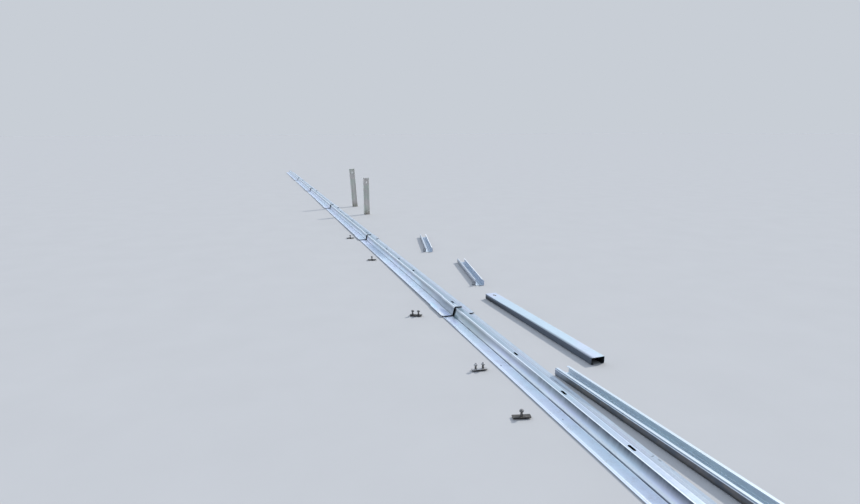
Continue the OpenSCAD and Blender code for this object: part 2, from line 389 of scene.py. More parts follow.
FAR_PAINTED_SHADE = (0.38, 0.46, 0.55)
LEFT_BAND_PAINTED_LIGHT = (0.88, 0.96, 1.0)
BAND_SHADED = (0.30, 0.36, 0.42)
LEFT_LIP_INNER_SHADE = (0.50, 0.59, 0.71)
LEFT_LIP_OUTER = (0.67, 0.77, 0.90)
RIGHT_LIP = (0.56, 0.64, 0.71)
RIDGE_PAINTED_SHADE = (0.22, 0.30, 0.345)
RIDGE_TURN_SHADE = (0.25, 0.31, 0.37)
WEB_SHADE_NEAR = (0.055, 0.075, 0.10)
WEB_SHADE_FAR = (0.10, 0.13, 0.14)
WEB_FOOT_REFLECTION = (0.95, 0.99, 1.0)
FOLD_HIGHLIGHT = (0.90, 0.96, 1.0)
CREASE_SIDE_HIGHLIGHT = (0.93, 0.98, 1.0)
CREASE_SHADE_AND_DIRT = (0.045, 0.065, 0.10)
UNDERSIDE_SHADE = (0.05, 0.06, 0.075)
CUT_SHADE = (0.015, 0.022, 0.035)
CUT_HIGHLIGHT = (0.93, 0.96, 1.0)
LAP_COVERED_SHADE = (0.015, 0.02, 0.03)
LAP_SHADE = (0.02, 0.035, 0.05)

# How softly a beam's bands and its webs pass into what is next to them
BAND_SOFT = 0.002
WEB_SOFT = 0.004

# Where along the run the tones and painted light and shade start to change, and where they have changed
FAR_SHADE_GROWS = (7.6, 10.0)
BAND_FADES = (5.4, 8.0)
RIDGE_SHADE_GROWS = (1.0, 3.6)
RIDGE_SHADE_GROWS_MORE = (4.2, 5.0)
STRIPE_FADES = (3.8, 5.0)
WEB_PALES = (1.2, 2.6)
FOOT_FADES = (3.0, 4.0)
GLINT_STARTS = (2.1, 2.9)


def section_group():
    """A place in its beam's section: off the middle line, its side, its height, how far from the far end"""
    tree, given, out = new_group(
        "beam section", {"Vector": "vector", "Far End": 0.0, "Slope": 0.0, "Drift": 0.0},
        {"Across": "value", "Side": "value", "Rise": "value", "Back": "value"})
    x, y, z = axes_of(tree, given["Vector"])
    back = calc(tree, "SUBTRACT", given["Far End"], y)
    link(tree, back, out["Back"])
    link(tree, calc(tree, "SUBTRACT", z, times(tree, given["Slope"], back)), out["Rise"])
    sideways = calc(tree, "ADD", calc(tree, "SUBTRACT", x, RUN_MID), times(tree, given["Drift"], back))
    link(tree, calc(tree, "SIGN", sideways), out["Side"])
    plain = BEAM_LEN - SOCKET - SOCKET_RUNOUT
    spread = ramp(tree, back, plain, plain + SOCKET_RUNOUT, 0.0, SPREAD, smooth=False)
    link(tree, calc(tree, "SUBTRACT", calc(tree, "ABSOLUTE", sideways), spread), out["Across"])
    return tree


class SectionPlace:
    """A place on a beam: its distances in the section, and masks of the section's parts"""

    def __init__(self, tree, given):
        self.place, self.number = given["Vector"], given["Number"]
        self.across, self.side = given["Across"], given["Side"]
        self.rise, self.back = given["Rise"], given["Back"]
        self.later, self.covered = given["Later"], given["Covered"]
        self.along = axes_of(tree, self.place)[1]
        self.signed = times(tree, self.across, self.side)
        self.left = ramp(tree, self.side, 0.0, -0.5)
        self.right = ramp(tree, self.side, 0.0, 0.5)
        self.lip = ramp(tree, self.across, LIP_FROM - BAND_SOFT, LIP_FROM + 0.001)
        self.band = times(tree, ramp(tree, self.across, CREASE - 0.001, CREASE + BAND_SOFT),
                          ramp(tree, self.across, LIP_FROM, LIP_FROM - BAND_SOFT))
        self.shaded = times(tree, self.band, self.right)
        self.shift = node(tree, "ShaderNodeCombineXYZ", {0: self.number}).outputs[0]


def paint_bands(tree, at, colour):
    """Bands and lips: painted light on the left band, painted shade on the right band, on the inner half of
    the left lip and far along the run
    """
    # Painted shadow over the far part of the run
    colour = mix(tree, ramp(tree, at.along, *FAR_SHADE_GROWS, 0.0, 0.30), colour, FAR_PAINTED_SHADE)
    # Painted light on the left band, less of it far along the run
    pale = ramp(tree, at.along, *BAND_FADES, 0.45, 0.15)
    colour = mix(tree, times(tree, at.band, at.left, pale), colour, LEFT_BAND_PAINTED_LIGHT)
    # The left lip, darker on its inner half: painted shade at the edge of the ridge's shadow
    left_lip = mix(tree, ramp(tree, at.across, 0.138, 0.148), LEFT_LIP_INNER_SHADE, LEFT_LIP_OUTER)
    colour = mix(tree, times(tree, at.lip, at.left), colour, left_lip)
    colour = mix(tree, times(tree, at.lip, at.right), colour, RIGHT_LIP)
    # Painted shade on the right band
    return mix(tree, times(tree, at.shaded, 0.72), colour, BAND_SHADED)


def paint_ridge(tree, at, colour):
    """The ridge: painted shade that grows along the run, streaked by rolling marks, less of it in a stripe on
    its right as a painted highlight, and painted shade where it turns down beyond it
    """
    flat = ramp(tree, at.across, RIDGE_HALF + 0.001, RIDGE_HALF - 0.004)
    rolled = streaks(tree, at.place, (150.0, 2.2, 150.0), 3.0, 0.6, at.shift)
    # Painted shade over the ridge's flat, growing along the run and streaked by rolling marks
    ridge_shade = times(tree, ramp(tree, at.along, *RIDGE_SHADE_GROWS, 0.57, 0.86), ramp(tree, rolled, 0.3, 0.7, 0.85, 1.12),
                ramp(tree, at.along, *RIDGE_SHADE_GROWS_MORE, 1.0, 1.09))
    # Less of that shade in a stripe on the right of the flat: a painted highlight
    stripe = ramp(tree, at.signed, 0.016, 0.011, ramp(tree, at.along, *STRIPE_FADES, 0.62, 0.92), 1.0)
    colour = mix(tree, times(tree, flat, ridge_shade, stripe), colour, RIDGE_PAINTED_SHADE)
    # Painted shade where the ridge turns down on its right
    turn = times(tree, band_of(tree, at.signed, RIDGE_HALF - 0.001, 0.007, 0.003), 0.68)
    return mix(tree, turn, colour, RIDGE_TURN_SHADE)


def paint_webs(tree, at, colour):
    """Webs with painted shade that darkens upwards, streaked, and a painted reflection of the band on the
    foot of the left web
    """
    web = times(tree, ramp(tree, at.across, CREASE, CREASE - WEB_SOFT),
                ramp(tree, at.across, RIDGE_HALF - 0.0045, RIDGE_HALF - 0.001))
    streaked = streaks(tree, at.place, (6.0, 34.0, 5.0), 5.0, 0.6, at.shift)
    far = ramp(tree, at.along, *WEB_PALES)
    # Painted shade, darker up the web
    web_shade = calc(tree, "ADD", ramp(tree, at.rise, 0.026, 0.056, 0.0, 0.50),
                 ramp(tree, at.rise, 0.050, 0.078, 0.0, 0.44, smooth=False))
    web_shade = times(tree, web, web_shade, ramp(tree, far, 0.0, 1.0, 1.0, 0.84),
                  ramp(tree, streaked, 0.2, 0.7, 0.82, 1.12, smooth=False))
    colour = mix(tree, web_shade, colour, mix(tree, far, WEB_SHADE_NEAR, WEB_SHADE_FAR))
    # Painted reflection of the bright band on the foot of the left web
    foot = times(tree, web, at.left, ramp(tree, at.rise, 0.040, 0.012),
                 ramp(tree, at.along, *FOOT_FADES, 1.0, 0.45))
    return mix(tree, foot, colour, WEB_FOOT_REFLECTION)


def paint_folds(tree, at, colour):
    """Painted highlights on the left fold and beside the left crease, and a ragged dark line in both creases
    that is partly painted shade and partly dirt
    """
    # Painted highlights along the left fold of the ridge
    fold = times(tree, band_of(tree, at.signed, -RIDGE_HALF + 0.0048, 0.0024, 0.0015), 0.8)
    colour = mix(tree, fold, colour, FOLD_HIGHLIGHT)
    glint = times(tree, band_of(tree, at.signed, -RIDGE_HALF + 0.0008, 0.0045, 0.003),
                  ramp(tree, at.along, *GLINT_STARTS), 0.6)
    colour = mix(tree, glint, colour, FOLD_HIGHLIGHT)
    # Painted highlight on the band beside the left crease
    beside = times(tree, band_of(tree, at.across, CREASE + 0.0085, 0.0022, 0.0025), at.left, 0.5)
    colour = mix(tree, beside, colour, CREASE_SIDE_HIGHLIGHT)
    # Dark line in both creases: partly painted shade, partly dirt
    ragged = ramp(tree, streaks(tree, at.place, (20.0, 3.0, 20.0), 4.0), 0.25, 0.6, 0.6, 1.0)
    seam = times(tree, band_of(tree, at.across, CREASE + 0.0006, 0.0019, 0.0021), ragged,
                 ramp(tree, at.rise, 0.02, 0.012), less(tree, at.later, 0.25))
    return mix(tree, seam, colour, CREASE_SHADE_AND_DIRT)


def paint_laps(tree, at, colour):
    """Painted shade on the underside, on a later beam's cut edge with a painted highlight along its top,
    where a beam lies under the next, and a painted shadow on its web in front of the next beam's cut
    """
    # Painted shade on the underside
    sheet = ramp(tree, at.rise, 0.003, BEAM_TOP, CREASE - CREASE_ROUND, RIDGE_HALF, smooth=False)
    inner = ramp(tree, calc(tree, "SUBTRACT", at.across, sheet), -0.0008, -0.0022)
    inner = times(tree, inner, ramp(tree, at.rise, 0.0800, 0.0790))
    low = times(tree, ramp(tree, at.rise, 0.0018, 0.0008), ramp(tree, at.across, CREASE, CREASE + BAND_SOFT),
                ramp(tree, at.across, LIP_FROM, LIP_FROM - BAND_SOFT))
    colour = mix(tree, times(tree, most(tree, inner, low), 0.85), colour, UNDERSIDE_SHADE)
    # Painted shade on a later beam's cut edge up its web and band, and a painted highlight along the cut edge
    # of its ridge
    cut = times(tree, at.later, ramp(tree, at.back, BEAM_LEN - 0.003, BEAM_LEN - 0.001))
    colour = mix(tree, times(tree, cut, ramp(tree, at.rise, 0.070, 0.060)), colour, CUT_SHADE)
    colour = mix(tree, times(tree, cut, ramp(tree, at.rise, 0.078, 0.080), 0.7), colour, CUT_HIGHLIGHT)
    # Painted shade where a beam lies under the next, and a painted shadow on its web just in front of the
    # next beam's cut
    hidden = times(tree, at.covered, ramp(tree, at.back, LAP + 0.004, LAP - 0.004), 0.93)
    colour = mix(tree, hidden, colour, LAP_COVERED_SHADE)
    web = times(tree, ramp(tree, at.across, CREASE, CREASE - WEB_SOFT), ramp(tree, at.rise, 0.076, 0.070))
    shade = times(tree, at.covered, web, at.left, ramp(tree, at.back, LAP + 0.030, LAP + 0.012), 0.9)
    return mix(tree, shade, colour, LAP_SHADE)


def beam_group():
    """What the beams' tones and painted light and shade have in common, on a place that the beam section
    group has found
    """
    tree, given, out = new_group(
        "beam tones and painted light",
        {"Vector": "vector", "Zinc": "colour", "Across": 0.0, "Side": 0.0, "Rise": 0.0, "Back": 0.0,
         "Number": 1.0, "Later": 0.0, "Covered": 1.0},
        {"Colour": "colour", "Share": "value"})
    at = SectionPlace(tree, given)
    colour = given["Zinc"]
    for paint in (paint_bands, paint_ridge, paint_webs, paint_folds, paint_laps):
        colour = paint(tree, at, colour)
    link(tree, colour, out["Colour"])
    plain = most(tree, at.lip, times(tree, at.shaded, 0.8))
    link(tree, less(tree, plain, 0.95), out["Share"])
    return tree


SECTION = section_group()
BEAM_TONES_AND_LIGHT = beam_group()

# Marks of single beams, some of them painted light and shade: place, size, colour, strength
LAP_NEAR = BAY - LAP / 2
CREASE_X = RUN_MID - CREASE
BEAM_MARKS = {
    1: (
        ((RUN_LEFT + 0.045, 2.672, 0.003), (0.006, 0.014, 0.01), (0.05, 0.06, 0.08), 0.85),
        ((RUN_LEFT + 0.021, 1.918, 0.003), (0.004, 0.010, 0.01), (0.05, 0.06, 0.08), 0.7),
        ((RUN_LEFT + 0.056, 1.829, 0.003), (0.004, 0.010, 0.01), (0.05, 0.06, 0.08), 0.7),
        ((CREASE_X, LAP_NEAR - 0.060, 0.010), (0.026, 0.075, 0.03), (0.16, 0.27, 0.31), 0.75),
        # Painted reflection: a pale patch on the web before the first lap
        ((CREASE_X + 0.008, LAP_NEAR - 0.20, 0.030), (0.012, 0.10, 0.014), (0.90, 0.95, 0.95), 0.75),
        ((RUN_LEFT + 0.060, LAP_NEAR - 0.17, 0.003), (0.030, 0.10, 0.02), (0.76, 0.80, 1.0), 0.6),
        # Painted shade on the ridge just before the first lap
        ((RUN_MID - 0.008, LAP_NEAR - 0.06, BEAM_TOP), (0.030, 0.11, 0.02), (0.12, 0.18, 0.22), 0.75),
        ((RUN_LEFT + 0.009, LAP_NEAR - 0.22, 0.003), (0.016, 0.22, 0.02), (0.36, 0.44, 0.56), 0.8),
        ((RUN_MID + 0.137, 1.335, 0.005), (0.015, 0.006, 0.01), (0.16, 0.20, 0.22), 0.75),
        ((RUN_MID + 0.146, 1.290, 0.010), (0.007, 0.022, 0.01), (0.20, 0.24, 0.26), 0.7),
        ((RUN_MID + 0.150, 1.200, 0.012), (0.006, 0.035, 0.01), (0.30, 0.33, 0.33), 0.6),
        ((CREASE_X + 0.010, 3.42, 0.040), (0.036, 0.62, 0.055), (0.29, 0.33, 0.29), 0.5),
    ),
    2: (
        ((RUN_LEFT + 0.060, LAP_NEAR + 0.08, 0.012), (0.036, 0.20, 0.03), (0.40, 0.48, 0.68), 0.6),
        # Painted sunlight on the left band at beam_2's near end
        ((RUN_LEFT + 0.012, LAP_NEAR + 0.07, 0.015), (0.026, 0.07, 0.03), (0.97, 0.98, 1.0), 0.5),
        ((RUN_LEFT + 0.030, LAP_NEAR + 0.35, 0.012), (0.03, 0.16, 0.03), (0.62, 0.86, 0.98), 0.6),
        ((CREASE_X + 0.008, LAP_NEAR + 0.14, 0.035), (0.045, 0.60, 0.06), (0.17, 0.22, 0.23), 0.62),
        ((CREASE_X + 0.010, LAP_NEAR + 0.80, 0.040), (0.036, 0.42, 0.055), (0.27, 0.32, 0.30), 0.45),
        # Painted shadow over the left band far along beam_2
        ((RUN_LEFT + 0.060, LAP_NEAR + 3.15, 0.003), (0.090, 0.70, 0.06), (0.34, 0.42, 0.53), 0.6),
        ((RUN_MID - 0.01, LAP_NEAR + 0.05, 0.091), (0.02, 0.04, 0.02), (0.86, 0.93, 0.97), 0.6),
    ),
}


def beam_paint(number):
    """The tones and painted light and shade of one beam: the first lies flat, and all but the last lie under
    the next
    """
    later, covered = float(number > 1), float(number < len(BEAMS))

    def paint(tree, place, colour):
        here = use(tree, SECTION, Vector=place, Far_End=number * BAY + LAP / 2, Slope=later * NEST / BAY,
                   Drift=later * NEAR_SHIFT / BEAM_LEN)
        tinted = use(tree, TINTS, Vector=place, Zinc=colour, Shift=number * 3.1)
        # Tones and painted light and shade from the shared beam group
        layers = use(tree, BEAM_TONES_AND_LIGHT, Vector=place, Zinc=tinted["Colour"], Number=number, Later=later,
                   Covered=covered, Across=here["Across"], Side=here["Side"], Rise=here["Rise"],
                   Back=here["Back"])
        colour = layers["Colour"]
        for at, size, tone, amount in BEAM_MARKS.get(number, ()):
            colour = mix(tree, times(tree, spot(tree, place, at, size), amount), colour, tone)
        return colour, layers["Share"]

    return paint


BEAM_DULL = (0.70, 0.78, 0.90)
BEAM_BRIGHT = (0.80, 0.87, 0.96)

# Three batches of zinc in turn, each a little duller than the one before
for number, name in enumerate(BEAMS, 1):
    batch = 1.0 - 0.03 * ((number - 1) % 3)
    give(name, zinc_material("beam zinc %d" % number, tuple(batch * v for v in BEAM_DULL),
                             tuple(batch * v for v in BEAM_BRIGHT), rough=0.45, shift=1.7 * (number - 1),
                             paint=beam_paint(number)))


# The loose channels' tones and painted light and shade

# Brown soil on the channels' outer sides, painted shade low on those sides and under the lips, a painted dark
# reflection and a painted highlight at the lips' corners, worn patches inside and scratches
SOIL_BROWN = (0.15, 0.13, 0.11)
OUTER_SHADE_LOW = (0.03, 0.03, 0.028)
UNDER_LIP_SHADE = (0.5, 0.6, 0.68)
INSIDE_WORN = (0.52, 0.55, 0.66)
LIP_CORNER_REFLECTION = (0.17, 0.23, 0.29)
OUTER_SIDE_HIGHLIGHT = (0.80, 0.86, 0.90)
SCRATCH_DARK = (0.07, 0.08, 0.09)
SCRATCHES_AT = (-0.345, -0.700)

# A channel that lies mouth up: painted light on its lips, painted light and shade on the bottom, painted
# light on the far side, painted shade on the outer near side, and where that side turns lighter
OPEN_LOOK = {"Width": POST_WIDTH, "Crest": (0.66, 0.75, 0.82), "Lit": (0.70, 0.80, 0.84),
             "Dim": (0.76, 0.90, 0.94), "Side": (0.77, 0.88, 0.92), "Outer Shade": (0.075, 0.085, 0.10),
             "Clean_From": -0.05}
SPACER_LOOK = {"Width": SPACER_WIDTH, "Crest": (0.94, 0.98, 1.0), "Lit": (0.78, 0.88, 0.94),
               "Dim": (0.42, 0.53, 0.63), "Side": (0.52, 0.61, 0.68), "Outer Shade": (0.17, 0.19, 0.18),
               "Clean_From": -9.0}


def own_axes(tree, place, corner, turn):
    """A place in the axes of a piece that lies at a corner, turned: x across it, y along it"""
    a = math.radians(turn)
    back = (-(corner[0] * math.cos(a) + corner[1] * math.sin(a)),
            corner[0] * math.sin(a) - corner[1] * math.cos(a), 0.0)
    return node(tree, "ShaderNodeMapping", {0: place, 1: back, 2: (0.0, 0.0, -a)}).outputs[0]


def channel_group():
    """A channel lying mouth up: painted light on its lips and a painted dark reflection at their rolled
    corner, painted light and shade inside, and painted shade, brown soil and a painted highlight line on its
    outer near side
    """
    tree, given, out = new_group(
        "open channel",
        {"Own": "vector", "Zinc": "colour", "Width": POST_WIDTH, "Crest": "colour", "Lit": "colour",
         "Dim": "colour", "Side": "colour", "Outer Shade": "colour", "Clean From": 0.0},
        {"Colour": "colour", "Share": "value"})
    own, colour, width, lighter_from = given["Own"], given["Zinc"], given["Width"], given["Clean From"]
    wall, height = CHANNEL_WALL, CHANNEL_DEPTH
    x, y, z = axes_of(tree, own)
    # Unrolled over the near corner: above 0 on the lip, below 0 on the outer side
    over = calc(tree, "SUBTRACT", x, calc(tree, "SUBTRACT", height, z))
    from_far = calc(tree, "SUBTRACT", width, x)

    # Painted shade on the outer near side, in clouds with brown soil, darkest towards the bottom
    outer = times(tree, ramp(tree, over, -0.0095, -0.0115), ramp(tree, x, wall * 0.5, wall * 0.25))
    clouds = streaks(tree, own, (6.0, 9.0, 22.0), 4.0, 0.65)
    ground = mix(tree, ramp(tree, clouds, 0.40, 0.62), given["Outer Shade"], SOIL_BROWN)
    outer_shade_and_soil = ramp(tree, y, calc(tree, "SUBTRACT", lighter_from, 0.16), lighter_from, 0.92, 0.45)
    colour = mix(tree, times(tree, outer, outer_shade_and_soil), colour, ground)
    low = times(tree, outer, ramp(tree, z, height * 0.55, 0.0), outer_shade_and_soil)
    colour = mix(tree, low, colour, OUTER_SHADE_LOW)

    # Inside: painted light and shade on the bottom and the far side, painted shade under the lip, and streaks
    # of wear
    inside = times(tree, ramp(tree, x, wall * 0.7, wall * 1.2), ramp(tree, from_far, wall * 0.7, wall * 1.2),
                   ramp(tree, z, height - wall * 0.4, height - wall * 0.9))
    side = mix(tree, ramp(tree, z, height - 0.022, height - 0.006), given["Side"], UNDER_LIP_SHADE, "MULTIPLY")
    bottom = ramp(tree, calc(tree, "DIVIDE", x, width), 0.40, 0.72)
    inner = mix(tree, bottom, given["Lit"], given["Dim"])
    inner = mix(tree, ramp(tree, from_far, wall * 2.2, wall * 1.3), inner, side)
    layers = streaks(tree, own, (9.0, 4.0, 30.0), 3.0, 0.6)
    inner = mix(tree, ramp(tree, layers, 0.35, 0.65, 0.0, 0.35), inner, INSIDE_WORN)
    colour = mix(tree, times(tree, inside, 0.9), colour, inner)

    # Painted light on the lips' tops, a painted dark reflection just past the corner, dark scratches, and a
    # painted highlight line on the outer side below the corner
    top = times(tree, ramp(tree, z, height - wall * 0.8, height - wall * 0.4), ramp(tree, over, 0.002, 0.006))
    colour = mix(tree, times(tree, top, 0.85), colour, given["Crest"])
    dark_reflection = band_of(tree, over, 0.0012, 0.0036, 0.0020)
    colour = mix(tree, times(tree, dark_reflection, 0.85), colour, LIP_CORNER_REFLECTION)
    for at in SCRATCHES_AT:
        scratch = spot(tree, own, (0.0, at, height), (0.012, 0.0035, 0.014), 0.5)
        colour = mix(tree, times(tree, scratch, 0.8), colour, SCRATCH_DARK)
    side_highlight = times(tree, band_of(tree, over, -0.0070, 0.0020, 0.0018), ramp(tree, x, wall, wall * 0.6), 0.95)
    link(tree, mix(tree, side_highlight, colour, OUTER_SIDE_HIGHLIGHT), out["Colour"])
    link(tree, less(tree, most(tree, top, inside, outer), 0.8), out["Share"])
    return tree


CHANNEL = channel_group()


def channel_paint(corner, turn, look):
    """The tones and painted light and shade of a channel that lies mouth up at a corner, turned"""
    def paint(tree, place, colour):
        own = own_axes(tree, place, corner, turn)
        tinted = use(tree, TINTS, Vector=own, Zinc=colour, Shift=5.0)
        layers = use(tree, CHANNEL, Own=own, Zinc=tinted["Colour"], **look)
        return layers["Colour"], layers["Share"]

    return paint


# Painted shade on the loose post's outer left side, near end, left edge, hollow and slot rim, and the colour
# of its scratch marks
WEB_UP_SIDE_SHADE = (0.24, 0.28, 0.33)
WEB_UP_SIDE_SHADE_LOW = (0.035, 0.038, 0.04)
WEB_UP_NEAR_SHADE = (0.35, 0.35, 0.36)
WEB_UP_EDGE_SHADE = (0.13, 0.15, 0.18)
WEB_UP_HOLLOW_SHADE = (0.012, 0.016, 0.022)
SLOT_RIM_SHADE = (0.01, 0.014, 0.017)
WEB_UP_MARK = (0.35, 0.42, 0.45)
WEB_UP_MARKS_AT = (-1.640, -1.665)


def web_up_paint(tree, place, colour):
    """The loose post on its mouth: a clean pale web, painted shade on its outer left side that darkens
    downwards and towards the near end, on its left edge, in the hollow and round the slot
    """
    own = own_axes(tree, place, *WEB_UP_POST)
    x, y, z = axes_of(tree, own)
    height = CHANNEL_DEPTH
    colour = use(tree, TINTS, Vector=own, Zinc=colour, Shift=8.0)["Colour"]
    # Painted shade on the outer left side, darker downwards and towards the near end
    outer = ramp(tree, x, 0.0030, 0.0004)
    near = ramp(tree, y, 0.0, -1.3, smooth=False)
    shade = mix(tree, ramp(tree, z, height, height * 0.45), WEB_UP_SIDE_SHADE, WEB_UP_SIDE_SHADE_LOW)
    shade = mix(tree, near, shade, WEB_UP_NEAR_SHADE, "MULTIPLY")
    colour = mix(tree, times(tree, outer, 0.95), colour, shade)
    # Painted shade on the web's left edge, growing towards the near end
    edge_to = calc(tree, "MULTIPLY_ADD", near, 0.036, 0.002)
    edge = times(tree, ramp(tree, x, edge_to, 0.0), ramp(tree, near, 0.0, 0.6))
    colour = mix(tree, times(tree, edge, 0.85), colour, WEB_UP_EDGE_SHADE)
    # Painted shade in the hollow and round the slot
    inside = times(tree, ramp(tree, x, 0.0025, 0.0040),
                   ramp(tree, x, POST_WIDTH - 0.0025, POST_WIDTH - 0.0040),
                   ramp(tree, z, height - 0.0025, height - 0.0038))
    colour = mix(tree, times(tree, inside, 0.96), colour, WEB_UP_HOLLOW_SHADE)
    slot = (POST_SLOT_WIDE * 0.84, POST_SLOT_LONG * 0.70, 0.01)
    rim = spot(tree, own, (POST_WIDTH / 2, -POST_SLOT_IN, height), slot, 0.85)
    colour = mix(tree, times(tree, rim, 0.97), colour, SLOT_RIM_SHADE)
    for at in WEB_UP_MARKS_AT:
        bent = calc(tree, "MULTIPLY_ADD", noise(tree, own, 9.0, 2.0), 0.03,
                    calc(tree, "SUBTRACT", y, at + 0.015))
        mark = times(tree, band_of(tree, bent, 0.0, 0.0012, 0.002),
                     ramp(tree, z, height - 0.004, height - 0.001))
        colour = mix(tree, times(tree, mark, 0.5), colour, WEB_UP_MARK)
    return colour, less(tree, most(tree, outer, inside, rim), 0.8)


POST_RUNS = (0.36, 0.38, 0.36)
POST_SPLASH = (0.30, 0.24, 0.17)
SPLASH_HEIGHT = 0.16


def standing_paint(tree, place, colour):
    """A standing post: grey runs down it and soil splashed on its foot"""
    colour = use(tree, TINTS, Vector=place, Zinc=colour, Shift=11.0)["Colour"]
    runs = streaks(tree, place, (40.0, 40.0, 1.5), 4.0, 0.6)
    colour = mix(tree, ramp(tree, runs, 0.35, 0.70, 0.0, 0.45), colour, POST_RUNS)
    splash = times(tree, ramp(tree, axes_of(tree, place)[2], SPLASH_HEIGHT, 0.0),
                   ramp(tree, noise(tree, place, 45.0, 4.0), 0.35, 0.6))
    return mix(tree, times(tree, splash, 0.8), colour, POST_SPLASH), less(tree, splash, 0.45, 0.45)


POST_ZINC = zinc_material("post zinc", (0.76, 0.75, 0.67), (0.94, 0.93, 0.85), rough=0.55, dust=0.4,
                          dust_height=0.08, paint=standing_paint)
for name in ("driven_post", "half_driven_post"):
    give(name, POST_ZINC)
give("open_post", zinc_material("open post zinc", (0.42, 0.47, 0.52), (0.60, 0.66, 0.72), dust=0.2, shift=2.0,
                                paint=channel_paint(*OPEN_POST, OPEN_LOOK)))
give("web_up_post", zinc_material("loose post zinc", (0.53, 0.60, 0.665), (0.61, 0.68, 0.74), dust=0.0,
                                  shift=4.0, glaze=0.1, paint=web_up_paint))
for name, (corner, turn) in SPACERS.items():
    give(name, zinc_material(name.replace("_", " ") + " zinc", (0.42, 0.47, 0.53), (0.60, 0.66, 0.74),
                             dust=0.2, shift=corner[1], paint=channel_paint(corner, turn, SPACER_LOOK)))


# The bolt sets' tones and painted shade

# Tones of the bolt sets, with painted shade on the plates' edges and round the nuts' sides
PLATE_DARK = (0.035, 0.034, 0.031)
PLATE_EDGE_SHADE = (0.02, 0.019, 0.018)
PLATE_OIL = (0.10, 0.095, 0.09)
BOLT_RUST = (0.17, 0.085, 0.04)
BOLT_OIL = (0.05, 0.05, 0.052)
NUT_SIDE_SHADE = (0.16, 0.165, 0.17)
NUT_DARK = (0.15, 0.15, 0.15)


def dark_sets_group():
    """1 on every bolt set but the second"""
    tree, given, out = new_group("dark bolt sets", {"Vector": "vector"}, {"Dark": "value"})
    away = off_from(tree, axes_of(tree, given["Vector"])[1], BRIGHT_KIT_Y)
    link(tree, ramp(tree, away, 0.1, 0.2), out["Dark"])
    return tree


DARK_SETS = dark_sets_group()


def plate_paint(tree, place, colour):
    """A plate with painted shade on its edges and oily patches, keeping its own tone on top in the second set
    and darker all over in the others
    """
    dark = use(tree, DARK_SETS, Vector=place)["Dark"]
    colour = mix(tree, times(tree, dark, 0.92), colour, PLATE_DARK)
    # Painted shade on the plate's edges
    edge = ramp(tree, axes_of(tree, place)[2], PLATE_TOP - 0.0001, PLATE_TOP - 0.0008)
    colour = mix(tree, times(tree, edge, 0.92), colour, PLATE_EDGE_SHADE)
    oil = ramp(tree, noise(tree, place, 70.0, 4.0), 0.50, 0.68)
    colour = mix(tree, times(tree, oil, 0.5), colour, PLATE_OIL)
    return colour, less(tree, most(tree, edge, times(tree, dark, 0.9)), 0.8, 0.8)


def bolt_paint(tree, place, colour):
    """A bolt gone dark, oily below its thread and faintly rusty"""
    rust = ramp(tree, noise(tree, place, 120.0, 5.0), 0.50, 0.66)
    colour = mix(tree, times(tree, rust, 0.5), colour, BOLT_RUST)
    oil = times(tree, ramp(tree, axes_of(tree, place)[2], 0.036, 0.026), 0.55)
    return mix(tree, oil, colour, BOLT_OIL), less(tree, rust, 0.6, 0.8)


def nut_paint(tree, place, colour):
    """A nut bright on top with painted shade round its sides in the second set, and darker all over in the
    others
    """
    # Painted shade round the nut's sides
    side = ramp(tree, axes_of(tree, place)[2], NUT_TOP - 0.0015, NUT_TOP - 0.0035)
    colour = mix(tree, times(tree, side, 0.6), colour, NUT_SIDE_SHADE)
    dark = use(tree, DARK_SETS, Vector=place)["Dark"]
    return mix(tree, times(tree, dark, 0.85), colour, NUT_DARK), less(tree, side, 0.3, 0.6)


PLATE_ZINC = zinc_material("plate zinc", (0.46, 0.46, 0.455), (0.60, 0.60, 0.60), rough=0.55, crystal=160.0,
                           cloud=12.0, drawn=0.1, glaze=0.15, paint=plate_paint)
BOLT_ZINC = zinc_material("bolt zinc", (0.26, 0.255, 0.25), (0.40, 0.395, 0.39), crystal=300.0, cloud=30.0,
                          drawn=0.0, paint=bolt_paint)
NUT_ZINC = zinc_material("nut zinc", (0.66, 0.67, 0.68), (0.84, 0.85, 0.86), rough=0.42, crystal=300.0,
                         cloud=30.0, drawn=0.0, dust=0.1, paint=nut_paint)


# Bolts and nuts with their threads

SAME_POINT = 1e-6
SAME_IN_THREAD = 1e-5
BOLT_STEPS = 40
NUT_STEPS = 48
THREAD_STEPS = 28
DOME_ANGLES = (0, 10, 20, 30, 42, 54, 66, 78)
SHARP_FROM = 32


def outline(bm, points, closed=False):
    """The vertices and edges of a line of (radius, height) points, open or closed"""
    made = [bm.verts.new((r, 0.0, z)) for r, z in points]
    ends = made[1:] + made[:1] if closed else made[1:]
    return made + [bm.edges.new(pair) for pair in zip(made, ends)]


def spun(bm, line, steps):
    """A line turned once round the axis"""
    bmesh.ops.spin(bm, geom=line, cent=(0, 0, 0), axis=(0, 0, 1), angle=math.tau, steps=steps, use_merge=True)
    bmesh.ops.remove_doubles(bm, verts=bm.verts, dist=SAME_POINT)


def cut_flat(bm, at, outwards):
    """A closed body cut by a plane and closed again there"""
    cut = bmesh.ops.bisect_plane(bm, geom=bm.verts[:] + bm.edges[:] + bm.faces[:], dist=1e-7,
                                 plane_co=at, plane_no=outwards, clear_outer=True)
    rim = [e for e in cut["geom_cut"] if isinstance(e, bmesh.types.BMEdge)]
    bmesh.ops.holes_fill(bm, edges=rim, sides=0)


def joined(bm, other):
    """The second mesh added to the first"""
    held = bpy.data.meshes.new("held")
    other.to_mesh(held)
    other.free()
    bm.from_mesh(held)
    bpy.data.meshes.remove(held)
    bmesh.ops.recalc_face_normals(bm, faces=bm.faces)
    return bm


